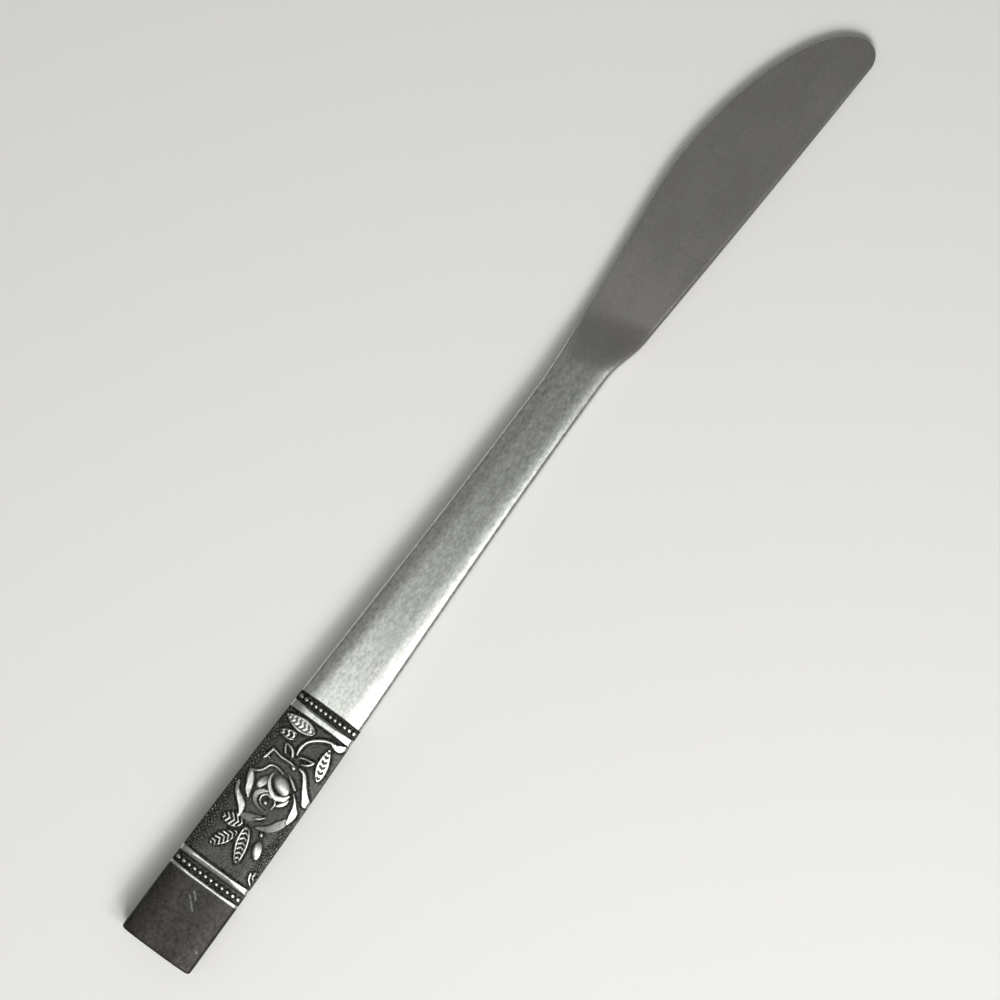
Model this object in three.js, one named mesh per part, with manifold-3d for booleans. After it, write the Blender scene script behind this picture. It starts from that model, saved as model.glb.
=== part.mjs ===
// A table knife with a hollow handle, in millimetres, lying on its rear face with +Z up.
// The handle is two half shells, struck in one die and brazed together along their rims.
// The blade, its bolster and its notched tang are one forging, and cement keys the tang in the handle.

import * as THREE from "three";
import { mergeVertices } from "three/addons/utils/BufferGeometryUtils.js";
import Module from "manifold-3d";

const wasm = await Module();
wasm.setup();

const { lerp, degToRad, smoothstep } = THREE.MathUtils;

// Lengths along the knife
const OVERALL_LENGTH = 216;
const HANDLE_LENGTH = 129; // butt to the back face of the bolster

// Handle, seen from above
const BUTT_WIDTH = 15.5;
const NECK_WIDTH = 9.8;
const TAPER_LENGTH = 138; // the width eases from the butt's to the neck's over this length
const BUTT_CORNER_RADIUS = 0.7;

// Handle, seen from the side and in section
const BUTT_THICKNESS = 7.4;
const NECK_THICKNESS = 4.8;
const BUTT_EDGE_RADIUS = 0.6;
const EDGE_RADIUS = 0.9; // round between the side wall and the shoulder
const INNER_RADIUS = 0.3;
const SHOULDER_AT_BUTT = 4; // width of the sloping strip beside the flat land
const SHOULDER_AT_NECK = 2.6;
const SHOULDER_SLOPE = degToRad(17);

// Walls and fits
const WALL = 0.9;
const BRAZE_THICKNESS = 0.2;
const FILL_GAP = 0.3; // clearance of the fill and of the bolster's plug in the shells
const PLUG_LENGTH = 4;

// Tang
const TANG_LENGTH = 46;
const TANG_ROOT_WIDTH = 5.2;
const TANG_END_WIDTH = 4;
const TANG_THICKNESS = 1.6;
const NOTCH_RADIUS = 0.8;
const NOTCH_SPACING = 12;
const NOTCH_COUNT = 3;

// Blade outline, with heights above or below the handle's axis
const HEEL_FROM_BOLSTER = 18;
const NECK_STRAIGHT = 6; // straight stretch of the bolster before the edge drops to the heel
const HEEL_DROP = 6.75;
const HEEL_SWEEP = 5.3; // reach of the two curve handles that shape the heel
const SPINE_RISE = 8.86;
const SPINE_PEAK_FROM_TIP = 39;
const SPINE_SWEEP_OUT = 27; // reach of the curve handle at the neck
const SPINE_SWEEP_RISE = 1.3;
const SPINE_SWEEP_IN = 11; // reach of the curve handle at the peak
const SPINE_FALL_POWER = 1.7;
const TIP_DROP = 7.2;
const TIP_ROUND = 4;
const TIP_BLUNT = 0.05; // cuts the point back to a narrow flat
const EDGE_DROP = 10.3;
const EDGE_BELLY = 0.3;

// Blade thickness
const BLADE_DEPTH = 17.5; // from the cutting edge up to where the flat of the blade is at its thickest
const SPINE_THICKNESS = 2.3;
const SPINE_THICKNESS_AT_TIP = 1.3;
const GRIND_THICKNESS = 1.1; // just above the bevel of the cutting edge
const GRIND_THICKNESS_AT_TIP = 0.7;
const EDGE_BEVEL = 0.5;
const EDGE_THICKNESS = 0.35;
const SPINE_ROUND = 0.25;
const RAMP_START = 4; // where the bolster begins to thin, from its back face
const RAMP_LENGTH = 12;
const RAMP_SKEW = 4; // how much later the ramp comes at the edge than at the spine

// Struck ornament, in order from the butt
const BUTT_PLATE_LENGTH = 15.9;
const BEAD_CHANNEL_WIDTH = 2;
const BAR_WIDTH = 1.6;
const PANEL_LENGTH = 32.4;
const SUNK_DEPTH = 0.45;
const SUNK_SPREAD = 0.4; // lets the sunk ground run out on the round of the edge
const BEAD_COUNT = 12;
const BEAD_RADIUS = 0.42;
const BEAD_SIDE_MARGIN = 0.75;
const RELIEF_TOP = 0.03; // crests of petals, under the face
const PETAL_CREST = 0.65; // width of a crest, as a share of the rib's width
const LEAF_TOP = 0.1;
const LEAF_CREST = 0.08;
const STEM_CREST = 0.4;
const ROSE_PLATE_TOP = 0.3;
const RELIEF_ROOT = 1.6; // how deep the raised work is rooted in the wall before the hollow is cut
const HEART_FROM_PANEL = 15; // middle of the rose, from the butt end of the panel
const HEART_DROP = 0.25;

// Fineness of the curved surfaces
const HANDLE_STEPS = 16;
const CORNER_STEPS = 4;
const ROUND_STEPS = 3;
const SHOULDER_STEPS = 2;
const BOLSTER_STEPS = 10;
const BELLY_STEPS = 4;
const FORE_STEPS = 7;
const TIP_STEPS = 5;
const RIB_STEPS = 6;
const RIB_END_WIDTH = 0.16;
const SWELLING_SIDES = 10;
const BEAD_SIDES = 8;
const LEVELS = 6; // rings of faces from the top of a ball to its bottom
const MOST_OF_HALF = 0.45; // share of a narrow section that its two edges may take up
const CURVE_TOLERANCE = 1e-7;
const CUT_MARGIN = 1; // how far a cutting solid reaches past the piece it cuts

const FACE_SLOPE = Math.atan2((BUTT_THICKNESS - NECK_THICKNESS) / 2, HANDLE_LENGTH);
const HEEL = HANDLE_LENGTH + HEEL_FROM_BOLSTER;
const INNER_INSET = WALL + FILL_GAP;

// Rims of the petals, as paths from the middle of the rose: x to the blade, y to the spine
const PETAL_RIMS = [
  { width: 1.0, path: [[-4.8, 2.6], [-3.0, 4.1], [-1.3, 5.7], [0.5, 6.3]] },
  { width: 0.6, path: [[-4.5, 1.9], [-4.2, 0.6], [-3.4, -0.5], [-2.2, -1.6]] },
  { width: 0.8, path: [[-4.8, -0.9], [-4.0, -3.0], [-2.2, -4.6], [-0.3, -5.2]] },
  { width: 0.9, path: [[-0.9, -5.7], [1.4, -5.5], [3.1, -4.5], [4.4, -3.3]] },
  { width: 0.9, path: [[3.6, -6.0], [5.4, -5.0], [7.4, -3.4], [8.8, -1.4]] },
  { width: 0.5, path: [[8.3, -0.6], [8.8, 0.6], [8.7, 2.8], [8.9, 4.6]] },
  { width: 0.4, path: [[8.9, 4.6], [7.6, 5.0], [6.4, 5.2]] },
  { width: 1.0, path: [[-0.8, 3.5], [0.8, 4.5], [2.0, 5.0], [3.2, 5.5]] },
  { width: 0.4, path: [[3.4, 5.8], [4.2, 4.6], [5.9, 3.6], [6.5, 2.4], [6.3, 0.9]] },
  { width: 0.5, path: [[6.8, -0.2], [6.1, -1.5], [5.2, -2.9]] },
  { width: 0.8, path: [[5.1, 2.1], [3.2, 1.6], [2.0, 0.2], [1.7, -1.0], [2.3, -2.1], [3.3, -2.8]] },
  { width: 0.5, path: [[0.7, -1.9], [1.3, -2.6], [2.2, -3.1]] },
  { width: 0.4, path: [[-0.8, 3.0], [0.6, 2.9], [1.6, 2.2], [2.1, 1.2]] },
  { width: 0.4, path: [[-0.7, -0.1], [-0.6, 0.8], [0.1, 1.2], [0.9, 0.9], [1.1, 0.1], [0.7, -0.7]] },
];

// Outline of the low plate that carries the petals
const ROSE_OUTLINE = [
  [0.5, 6.4], [-2.6, 5.0], [-5.0, 2.6], [-5.0, -1.2], [-3.2, -4.6], [-0.8, -6.0],
  [3.6, -6.2], [7.2, -4.2], [9.0, -1.6], [9.1, 4.6], [6.4, 5.4], [3.3, 6.1],
];

// Leaves along their middle ribs
const LEAVES = [
  { width: 2.2, path: [[-6.0, 0.9], [-9.2, 2.2], [-12.4, 4.0]] },
  { width: 2.3, path: [[-5.6, 1.3], [-6.2, 3.0], [-7.3, 5.0]] },
  { width: 2.2, path: [[-5.5, -0.1], [-9.0, -1.4], [-12.5, -2.4]] },
  { width: 1.1, path: [[9.8, 1.0], [10.6, 2.0], [11.3, 3.3]] },
  { width: 1.0, path: [[10.0, -0.6], [10.6, -1.9], [11.2, -3.1]] },
  { width: 2.6, path: [[15.6, 0.2], [15.5, 3.0], [15.4, 6.0]] },
  { width: 1.9, path: [[13.5, 2.4], [12.9, 4.0], [12.6, 5.9]] },
  { width: 2.0, path: [[8.9, -5.4], [11.8, -4.5], [15.0, -3.9]] },
];

// Stem of the sprig and its thick foot
const STEMS = [
  { width: 0.5, path: [[10.8, 0.7], [13.3, 0.5], [14.6, -0.3], [15.5, -1.6], [16.3, -4.2]] },
  { width: 1.3, path: [[15.9, -3.2], [16.3, -4.7], [17.0, -6.3]] },
];

// Round swellings: the eye of the rose, two full petals, the bud and its dot
const SWELLINGS = [
  { x: 0, y: 0, along: 0.35, across: 0.35, turn: 0 },
  { x: 4.6, y: -0.3, along: 1.4, across: 1.8, turn: -20 },
  { x: 3.0, y: 2.9, along: 1.4, across: 0.8, turn: 20 },
  { x: -8.0, y: -4.4, along: 1.7, across: 0.75, turn: 12 },
  { x: -5.4, y: -3.0, along: 0.35, across: 0.35, turn: 0 },
];

function solidFrom(geometry) {
  const plain = geometry.clone();
  plain.deleteAttribute("normal");
  plain.deleteAttribute("uv");
  const merged = mergeVertices(plain);
  const mesh = new wasm.Mesh({
    numProp: 3,
    vertProperties: merged.attributes.position.array,
    triVerts: new Uint32Array(merged.index.array),
  });
  return new wasm.Manifold(mesh);
}

function geometryFrom(solid) {
  const mesh = solid.getMesh();
  const geometry = new THREE.BufferGeometry();
  geometry.setAttribute("position", new THREE.BufferAttribute(mesh.vertProperties, 3));
  geometry.setIndex(new THREE.BufferAttribute(mesh.triVerts, 1));
  geometry.computeVertexNormals();
  return geometry;
}

function joined(solids) {
  return solids.reduce((sum, solid) => sum.add(solid));
}

// A solid through convex rings of points that run counter-clockwise, seen from the last ring
function loft(rings) {
  const count = rings[0].length;
  const last = (rings.length - 1) * count;
  const index = [];
  for (let i = 0; i < last; i += count) {
    for (let j = 0; j < count; j++) {
      const next = (j + 1) % count;
      index.push(i + j, i + next, i + count + next);
      index.push(i + j, i + count + next, i + count + j);
    }
  }
  for (let j = 1; j + 1 < count; j++) {
    index.push(0, j + 1, j);
    index.push(last, last + j, last + j + 1);
  }
  const geometry = new THREE.BufferGeometry().setFromPoints(rings.flat());
  geometry.setIndex(index);
  return solidFrom(geometry);
}

// How far the outline is drawn in by a rounded corner, at a distance from the end
function cornerCut(distance, radius) {
  const rest = Math.max(radius - distance, 0);
  return Math.max(radius, 0) - Math.sqrt(Math.max(radius, 0) ** 2 - rest ** 2);
}

function handleHalfWidth(x, inset) {
  const ease = 0.5 * (1 + Math.cos((Math.PI * x) / TAPER_LENGTH));
  const half = 0.5 * lerp(NECK_WIDTH, BUTT_WIDTH, ease);
  return half - inset - cornerCut(x - inset, BUTT_CORNER_RADIUS - inset);
}

function handleHalfThickness(x, inset) {
  const half = BUTT_THICKNESS / 2 - x * Math.tan(FACE_SLOPE);
  return half - inset - cornerCut(x - inset, BUTT_EDGE_RADIUS - inset);
}

function shoulderWidth(x) {
  return lerp(SHOULDER_AT_BUTT, SHOULDER_AT_NECK, x / HANDLE_LENGTH);
}

// Height of the crowned face, at a distance in from the side wall: a round, a sloping shoulder, a flat land
function crownHeight(distance, height, round, shoulder) {
  const fall = 0.5 * shoulder * Math.tan(SHOULDER_SLOPE);
  const roundWidth = round * (1 - Math.sin(SHOULDER_SLOPE));
  if (distance < roundWidth) {
    const across = round - distance;
    return height - fall - round * Math.cos(SHOULDER_SLOPE) + Math.sqrt(round ** 2 - across ** 2);
  }
  const left = Math.max(0, 1 - (distance - roundWidth) / shoulder);
  return height - fall * left ** 2;
}

function crownDistances(round, shoulder) {
  const distances = [];
  for (let i = 0; i <= ROUND_STEPS; i++) {
    const turn = lerp(Math.PI / 2, SHOULDER_SLOPE, i / ROUND_STEPS);
    distances.push(round * (1 - Math.sin(turn)));
  }
  const roundWidth = distances[ROUND_STEPS];
  for (let i = 1; i <= SHOULDER_STEPS; i++) {
    distances.push(roundWidth + (shoulder * i) / SHOULDER_STEPS);
  }
  return distances;
}

// Upper half of the handle's section, down to a base level
function halfSection(x, widthInset, heightInset, base) {
  const width = handleHalfWidth(x, widthInset);
  const height = handleHalfThickness(x, heightInset);
  const round = Math.max(EDGE_RADIUS - heightInset, INNER_RADIUS);
  const shoulder = shoulderWidth(x);
  const side = [new THREE.Vector3(x, width, base)];
  for (const distance of crownDistances(round, shoulder)) {
    side.push(new THREE.Vector3(x, width - distance, crownHeight(distance, height, round, shoulder)));
  }
  const otherSide = side.map((point) => new THREE.Vector3(x, -point.y, point.z));
  return [...side, ...otherSide.reverse()];
}

// Whole section, without points on the seam plane
function fullSection(x, inset) {
  const upper = halfSection(x, inset, inset, 0).slice(1, -1);
  const lower = upper.map((point) => new THREE.Vector3(x, point.y, -point.z));
  return [...upper, ...lower.reverse()];
}

// Stations along the handle, closer together at the rounded butt
function handleStations(from, to, cornerRadius) {
  const corner = Math.max(cornerRadius, 0);
  const stations = [];
  for (let i = 0; i < CORNER_STEPS && corner > 0; i++) {
    stations.push(from + corner * (1 - Math.cos((Math.PI / 2) * (i / CORNER_STEPS))));
  }
  const steps = Math.max(1, Math.round((HANDLE_STEPS * (to - from)) / HANDLE_LENGTH));
  for (let i = 0; i <= steps; i++) {
    stations.push(lerp(from + corner, to, i / steps));
  }
  return stations;
}

const outerStations = handleStations(0, HANDLE_LENGTH, BUTT_CORNER_RADIUS);
const cavityStations = handleStations(WALL, HANDLE_LENGTH, BUTT_CORNER_RADIUS - WALL);

// Where the bands of the ornament begin and end
const nearChannel = BUTT_PLATE_LENGTH;
const nearBar = nearChannel + BEAD_CHANNEL_WIDTH;
const panelStart = nearBar + BAR_WIDTH;
const panelEnd = panelStart + PANEL_LENGTH;
const farChannel = panelEnd + BAR_WIDTH;
const farChannelEnd = farChannel + BEAD_CHANNEL_WIDTH;

// What the die presses in: everything above a lowered crown, between two stations
function sunkBand(from, to) {
  const block = new THREE.BoxGeometry(to - from, 2 * BUTT_WIDTH, BUTT_THICKNESS);
  block.translate((from + to) / 2, 0, BUTT_THICKNESS / 2);
  const stations = handleStations(from - CUT_MARGIN, to + CUT_MARGIN, 0);
  const ground = stations.map((x) => halfSection(x, -SUNK_SPREAD, SUNK_DEPTH, -CUT_MARGIN));
  return solidFrom(block).subtract(loft(ground));
}

// Raised work is laid out flat, with depths under the face, and then put on the sloping face
const faceMatrix = new THREE.Matrix4().makeRotationY(FACE_SLOPE).setPosition(0, 0, BUTT_THICKNESS / 2);
const heart = new THREE.Vector3(panelStart + HEART_FROM_PANEL, -HEART_DROP, 0);

// A rib along a path: pointed ends, sides that slope up from the ground, and a narrower crest
function rib({ path, width }, crestShare, topDepth) {
  const curve = new THREE.SplineCurve(path.map(([x, y]) => new THREE.Vector2(x, y)));
  const rings = [];
  for (let i = 0; i <= RIB_STEPS; i++) {
    const share = i / RIB_STEPS;
    const half = 0.5 * Math.max(width * Math.sin(Math.PI * share), RIB_END_WIDTH);
    const crest = half * crestShare;
    const point = curve.getPoint(share);
    const along = curve.getTangent(share);
    const at = (offset, depth) =>
      new THREE.Vector3(point.x - along.y * offset, point.y + along.x * offset, -depth).add(heart);
    rings.push([
      at(half, RELIEF_ROOT),
      at(half, SUNK_DEPTH),
      at(crest, topDepth),
      at(-crest, topDepth),
      at(-half, SUNK_DEPTH),
      at(-half, RELIEF_ROOT),
    ]);
  }
  return loft(rings);
}

function swelling({ x, y, along, across, turn }) {
  const dome = new THREE.SphereGeometry(1, SWELLING_SIDES, LEVELS);
  dome.rotateX(Math.PI / 2);
  dome.scale(along, across, SUNK_DEPTH);
  dome.rotateZ(degToRad(turn));
  dome.translate(heart.x + x, heart.y + y, -SUNK_DEPTH - RELIEF_TOP);
  return solidFrom(dome);
}

function rosePlate() {
  const points = ROSE_OUTLINE.map(([x, y]) => new THREE.Vector2(x, y));
  const plate = new THREE.ExtrudeGeometry(new THREE.Shape(points), {
    depth: RELIEF_ROOT - ROSE_PLATE_TOP,
    bevelEnabled: false,
  });
  plate.translate(heart.x, heart.y, -RELIEF_ROOT);
  return solidFrom(plate);
}

// A row of beads across the handle, each let down by the fall of the shoulder where it sits
function beadRow(x) {
  const width = handleHalfWidth(x, 0);
  const reach = width - BEAD_SIDE_MARGIN;
  const beads = [];
  for (let i = 0; i < BEAD_COUNT; i++) {
    const y = lerp(-reach, reach, i / (BEAD_COUNT - 1));
    const fall = crownHeight(width - Math.abs(y), 0, EDGE_RADIUS, shoulderWidth(x));
    const bead = new THREE.SphereGeometry(BEAD_RADIUS, BEAD_SIDES, LEVELS);
    bead.rotateX(Math.PI / 2);
    bead.translate(x, y, fall - BEAD_RADIUS - RELIEF_TOP);
    beads.push(solidFrom(bead));
  }
  return beads;
}

function shellSolid() {
  const blank = loft(outerStations.map((x) => halfSection(x, 0, 0, BRAZE_THICKNESS / 2)));
  const hollow = [...cavityStations, HANDLE_LENGTH + CUT_MARGIN];
  const cavity = loft(hollow.map((x) => halfSection(x, WALL, WALL, -CUT_MARGIN)));
  const sunk = joined([
    sunkBand(nearChannel, nearBar),
    sunkBand(panelStart, panelEnd),
    sunkBand(farChannel, farChannelEnd),
  ]);
  const relief = joined([
    rosePlate(),
    ...PETAL_RIMS.map((rim) => rib(rim, PETAL_CREST, RELIEF_TOP)),
    ...LEAVES.map((leaf) => rib(leaf, LEAF_CREST, LEAF_TOP)),
    ...STEMS.map((stem) => rib(stem, STEM_CREST, LEAF_TOP)),
    ...SWELLINGS.map(swelling),
    ...beadRow((nearChannel + nearBar) / 2),
    ...beadRow((farChannel + farChannelEnd) / 2),
  ]).transform(faceMatrix.elements);
  return blank.subtract(sunk).add(relief.intersect(blank)).subtract(cavity);
}

// The alloy fills the joint between the two rims: a flat strip that runs round the butt
function brazeGeometry() {
  const outer = outerStations.map((x) => new THREE.Vector2(x, handleHalfWidth(x, 0)));
  const inner = cavityStations.map((x) => new THREE.Vector2(x, handleHalfWidth(x, WALL)));
  const mirrored = (points) => points.map((point) => new THREE.Vector2(point.x, -point.y));
  const outline = [...outer.toReversed(), ...mirrored(outer), ...mirrored(inner).reverse(), ...inner];
  const strip = new THREE.ExtrudeGeometry(new THREE.Shape(outline), {
    depth: BRAZE_THICKNESS,
    bevelEnabled: false,
  });
  strip.translate(0, 0, -BRAZE_THICKNESS / 2);
  return geometryFrom(solidFrom(strip));
}

// The tang, or with some growth the pocket that it leaves in the fill
function tangSolid(grow) {
  const root = HANDLE_LENGTH + CUT_MARGIN;
  const end = HANDLE_LENGTH - TANG_LENGTH - grow;
  const notch = NOTCH_RADIUS - grow;
  const halfAt = (x) => {
    const share = (HANDLE_LENGTH - x) / TANG_LENGTH;
    return 0.5 * lerp(TANG_ROOT_WIDTH, TANG_END_WIDTH, share) + grow;
  };
  const notches = [];
  for (let i = 1; i <= NOTCH_COUNT; i++) {
    notches.push(HANDLE_LENGTH - i * NOTCH_SPACING);
  }
  const outline = new THREE.Shape();
  outline.moveTo(root, -halfAt(root));
  outline.lineTo(root, halfAt(root));
  for (const x of notches) {
    outline.absarc(x, halfAt(x), notch, 0, Math.PI, true);
  }
  outline.lineTo(end, halfAt(end));
  outline.lineTo(end, -halfAt(end));
  for (const x of notches.reverse()) {
    outline.absarc(x, -halfAt(x), notch, Math.PI, 0, true);
  }
  const depth = TANG_THICKNESS + 2 * grow;
  const tang = new THREE.ExtrudeGeometry(outline, { depth, bevelEnabled: false, curveSegments: 6 });
  tang.translate(0, 0, -depth / 2);
  return solidFrom(tang);
}

function cementSolid() {
  const from = INNER_INSET;
  const to = HANDLE_LENGTH - PLUG_LENGTH - FILL_GAP;
  const body = loft(handleStations(from, to, 0).map((x) => fullSection(x, INNER_INSET)));
  return body.subtract(tangSolid(FILL_GAP));
}

const neckHalfWidth = handleHalfWidth(HANDLE_LENGTH, 0);
const spinePeak = OVERALL_LENGTH - SPINE_PEAK_FROM_TIP;
const point = OVERALL_LENGTH + TIP_BLUNT;
const tipStart = point - TIP_ROUND;

const spineCurve = new THREE.CubicBezierCurve(
  new THREE.Vector2(HANDLE_LENGTH, neckHalfWidth),
  new THREE.Vector2(HANDLE_LENGTH + SPINE_SWEEP_OUT, neckHalfWidth + SPINE_SWEEP_RISE),
  new THREE.Vector2(spinePeak - SPINE_SWEEP_IN, SPINE_RISE),
  new THREE.Vector2(spinePeak, SPINE_RISE),
);

const heelCurve = new THREE.CubicBezierCurve(
  new THREE.Vector2(HANDLE_LENGTH + NECK_STRAIGHT, -neckHalfWidth),
  new THREE.Vector2(HANDLE_LENGTH + NECK_STRAIGHT + HEEL_SWEEP, -neckHalfWidth),
  new THREE.Vector2(HEEL - HEEL_SWEEP, -HEEL_DROP),
  new THREE.Vector2(HEEL, -HEEL_DROP),
);

const edgeCurve = new THREE.QuadraticBezierCurve(
  new THREE.Vector2(HEEL, -HEEL_DROP),
  new THREE.Vector2((HEEL + tipStart) / 2, -(HEEL_DROP + EDGE_DROP) / 2 - EDGE_BELLY),
  new THREE.Vector2(tipStart, -EDGE_DROP),
);

// Height of a curve that runs forwards all the way, at one station
function heightAt(curve, x) {
  let low = 0;
  let high = 1;
  while (high - low > CURVE_TOLERANCE) {
    const middle = (low + high) / 2;
    if (curve.getPoint(middle).x < x) {
      low = middle;
    } else {
      high = middle;
    }
  }
  return curve.getPoint(high).y;
}

function spineHeight(x) {
  if (x < spinePeak) {
    return heightAt(spineCurve, x);
  }
  const share = (x - spinePeak) / (point - spinePeak);
  return lerp(-TIP_DROP, SPINE_RISE, Math.sqrt(1 - share ** SPINE_FALL_POWER));
}

// The cutting edge, as it would run without the round at the tip
function edgeLine(x) {
  if (x < HANDLE_LENGTH + NECK_STRAIGHT) {
    return -neckHalfWidth;
  }
  return heightAt(x < HEEL ? heelCurve : edgeCurve, x);
}

function edgeHeight(x) {
  if (x < tipStart) {
    return edgeLine(x);
  }
  const share = (x - tipStart) / TIP_ROUND;
  return lerp(-TIP_DROP, -EDGE_DROP, Math.sqrt(1 - share ** 2));
}

// Half the blade's thickness: flats that lean together to the edge and the tip, with a bevel at the edge
function bladeHalfThickness(x, fromSpine, fromEdge) {
  const along = (x - HANDLE_LENGTH) / (OVERALL_LENGTH - HANDLE_LENGTH);
  const spine = lerp(SPINE_THICKNESS, SPINE_THICKNESS_AT_TIP, along) / 2;
  const grind = lerp(GRIND_THICKNESS, GRIND_THICKNESS_AT_TIP, along) / 2;
  const depth = edgeHeight(x) + fromEdge - edgeLine(x);
  const flat = lerp(grind, spine, depth / BLADE_DEPTH);
  const bevelled = lerp(EDGE_THICKNESS / 2, flat, Math.min(fromEdge / EDGE_BEVEL, 1));
  const rounded = flat - SPINE_ROUND * (1 - Math.min(fromSpine / SPINE_ROUND, 1));
  return Math.min(bevelled, rounded);
}

// One section of the forging: the handle's crown at the bolster, which thins to the blade
function bladeRing(x) {
  const spine = spineHeight(x);
  const edge = edgeHeight(x);
  const width = spine - edge;
  const crown = handleHalfThickness(x, 0);
  const distances = [...crownDistances(EDGE_RADIUS, SHOULDER_AT_NECK), EDGE_BEVEL, SPINE_ROUND];
  distances.sort((a, b) => a - b);
  const squeeze = Math.min(1, (MOST_OF_HALF * width) / distances.at(-1));
  const fromSpine = distances.map((distance) => distance * squeeze);
  const across = [...fromSpine, ...fromSpine.map((distance) => width - distance).reverse()];
  const front = across.map((distance) => {
    const nearest = Math.min(distance, width - distance);
    const bolster = crownHeight(nearest, crown, EDGE_RADIUS, SHOULDER_AT_NECK);
    const blade = bladeHalfThickness(x, distance, width - distance);
    const start = HANDLE_LENGTH + RAMP_START + RAMP_SKEW * (distance / width);
    const thinned = lerp(bolster, blade, smoothstep(x, start, start + RAMP_LENGTH));
    return new THREE.Vector3(x, spine - distance, thinned);
  });
  const rear = front.map((at) => new THREE.Vector3(x, at.y, -at.z));
  return [...front, ...rear.reverse()];
}

// Stations along the forging, with one at the peak of the spine and one where the round of the tip begins
function bladeStations() {
  const stretches = [
    { from: HANDLE_LENGTH, to: HEEL, steps: BOLSTER_STEPS },
    { from: HEEL, to: spinePeak, steps: BELLY_STEPS },
    { from: spinePeak, to: tipStart, steps: FORE_STEPS },
  ];
  const stations = [];
  for (const { from, to, steps } of stretches) {
    for (let i = 0; i < steps; i++) {
      stations.push(lerp(from, to, i / steps));
    }
  }
  for (let i = 0; i <= TIP_STEPS; i++) {
    stations.push(lerp(tipStart, OVERALL_LENGTH, Math.sin((Math.PI / 2) * (i / TIP_STEPS))));
  }
  return stations;
}

function bladeSolid() {
  const plugStations = handleStations(HANDLE_LENGTH - PLUG_LENGTH, HANDLE_LENGTH + CUT_MARGIN, 0);
  const plug = loft(plugStations.map((x) => fullSection(x, INNER_INSET)));
  return joined([loft(bladeStations().map(bladeRing)), plug, tangSolid(0)]);
}

const polishedSteel = new THREE.MeshStandardMaterial({ color: 0x8f8d89, roughness: 0.32, metalness: 1 });
const satinSteel = new THREE.MeshStandardMaterial({ color: 0x9b9a96, roughness: 0.42, metalness: 1 });
const brazingAlloy = new THREE.MeshStandardMaterial({ color: 0xb3a681, roughness: 0.45, metalness: 1 });
const cement = new THREE.MeshStandardMaterial({ color: 0x948c80, roughness: 0.95, metalness: 0 });

function piece(name, geometry, material) {
  const mesh = new THREE.Mesh(geometry, material);
  mesh.name = name;
  return mesh;
}

const shellGeometry = geometryFrom(shellSolid());
const frontShell = piece("front_handle_shell", shellGeometry, satinSteel);
const rearShell = piece("rear_handle_shell", shellGeometry, satinSteel);
rearShell.rotation.x = Math.PI;

const knife = new THREE.Group();
knife.add(
  piece("blade", geometryFrom(bladeSolid()), polishedSteel),
  frontShell,
  rearShell,
  piece("seam_braze", brazeGeometry(), brazingAlloy),
  piece("handle_cement", geometryFrom(cementSolid()), cement),
);

// Turned so that the flat of the rear face lies on the table, with the origin under the middle of the box
knife.rotation.y = FACE_SLOPE;
const box = new THREE.Box3().setFromObject(knife, true);
const middle = box.getCenter(new THREE.Vector3());
knife.position.set(-middle.x, -middle.y, -box.min.z);

const part = new THREE.Group();
part.add(knife);

export default part;
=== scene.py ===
import math

import bpy
import numpy as np
from mathutils import Matrix, Vector


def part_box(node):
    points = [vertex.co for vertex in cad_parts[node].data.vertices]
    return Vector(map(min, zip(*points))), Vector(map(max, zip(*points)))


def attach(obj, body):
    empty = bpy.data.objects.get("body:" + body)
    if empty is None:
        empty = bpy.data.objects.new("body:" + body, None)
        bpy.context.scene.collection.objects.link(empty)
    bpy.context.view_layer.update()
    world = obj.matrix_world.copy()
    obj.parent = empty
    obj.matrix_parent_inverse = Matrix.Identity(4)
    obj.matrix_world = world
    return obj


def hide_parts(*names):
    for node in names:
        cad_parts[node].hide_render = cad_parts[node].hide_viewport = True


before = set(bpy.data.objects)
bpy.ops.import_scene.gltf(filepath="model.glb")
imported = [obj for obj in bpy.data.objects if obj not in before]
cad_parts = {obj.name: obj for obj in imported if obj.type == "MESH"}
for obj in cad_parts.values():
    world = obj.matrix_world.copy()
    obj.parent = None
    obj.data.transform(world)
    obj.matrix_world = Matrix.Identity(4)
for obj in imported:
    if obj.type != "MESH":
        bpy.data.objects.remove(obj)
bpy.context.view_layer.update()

# Sizes in millimetres, measured from the butt along the handle's axis, with +Y to the spine
MM = 0.001
OVERALL_LENGTH = 216.0
HANDLE_LENGTH = 129.0
BUTT_WIDTH = 15.5
NECK_WIDTH = 9.8
TAPER_LENGTH = 138.0
BUTT_CORNER_RADIUS = 0.7
BUTT_THICKNESS = 7.4
NECK_THICKNESS = 4.8
BUTT_EDGE_RADIUS = 0.6
EDGE_RADIUS = 0.9
SHOULDER_AT_BUTT = 4.0
SHOULDER_AT_NECK = 2.6
SHOULDER_SLOPE = math.radians(17)
WALL = 0.9
FILL_GAP = 0.3
BRAZE_THICKNESS = 0.2
OVERLAP = 1.0
PLUG_LENGTH = 4.0
PLUG_CHAMFER = 0.3
TANG_LENGTH = 46.0
TANG_ROOT_WIDTH = 5.2
TANG_END_WIDTH = 4.0
TANG_THICKNESS = 1.6
NOTCH_RADIUS = 0.8
NOTCH_SPACING = 12.0
NOTCH_COUNT = 3
FACE_SLOPE = math.atan2((BUTT_THICKNESS - NECK_THICKNESS) / 2, HANDLE_LENGTH)

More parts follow.
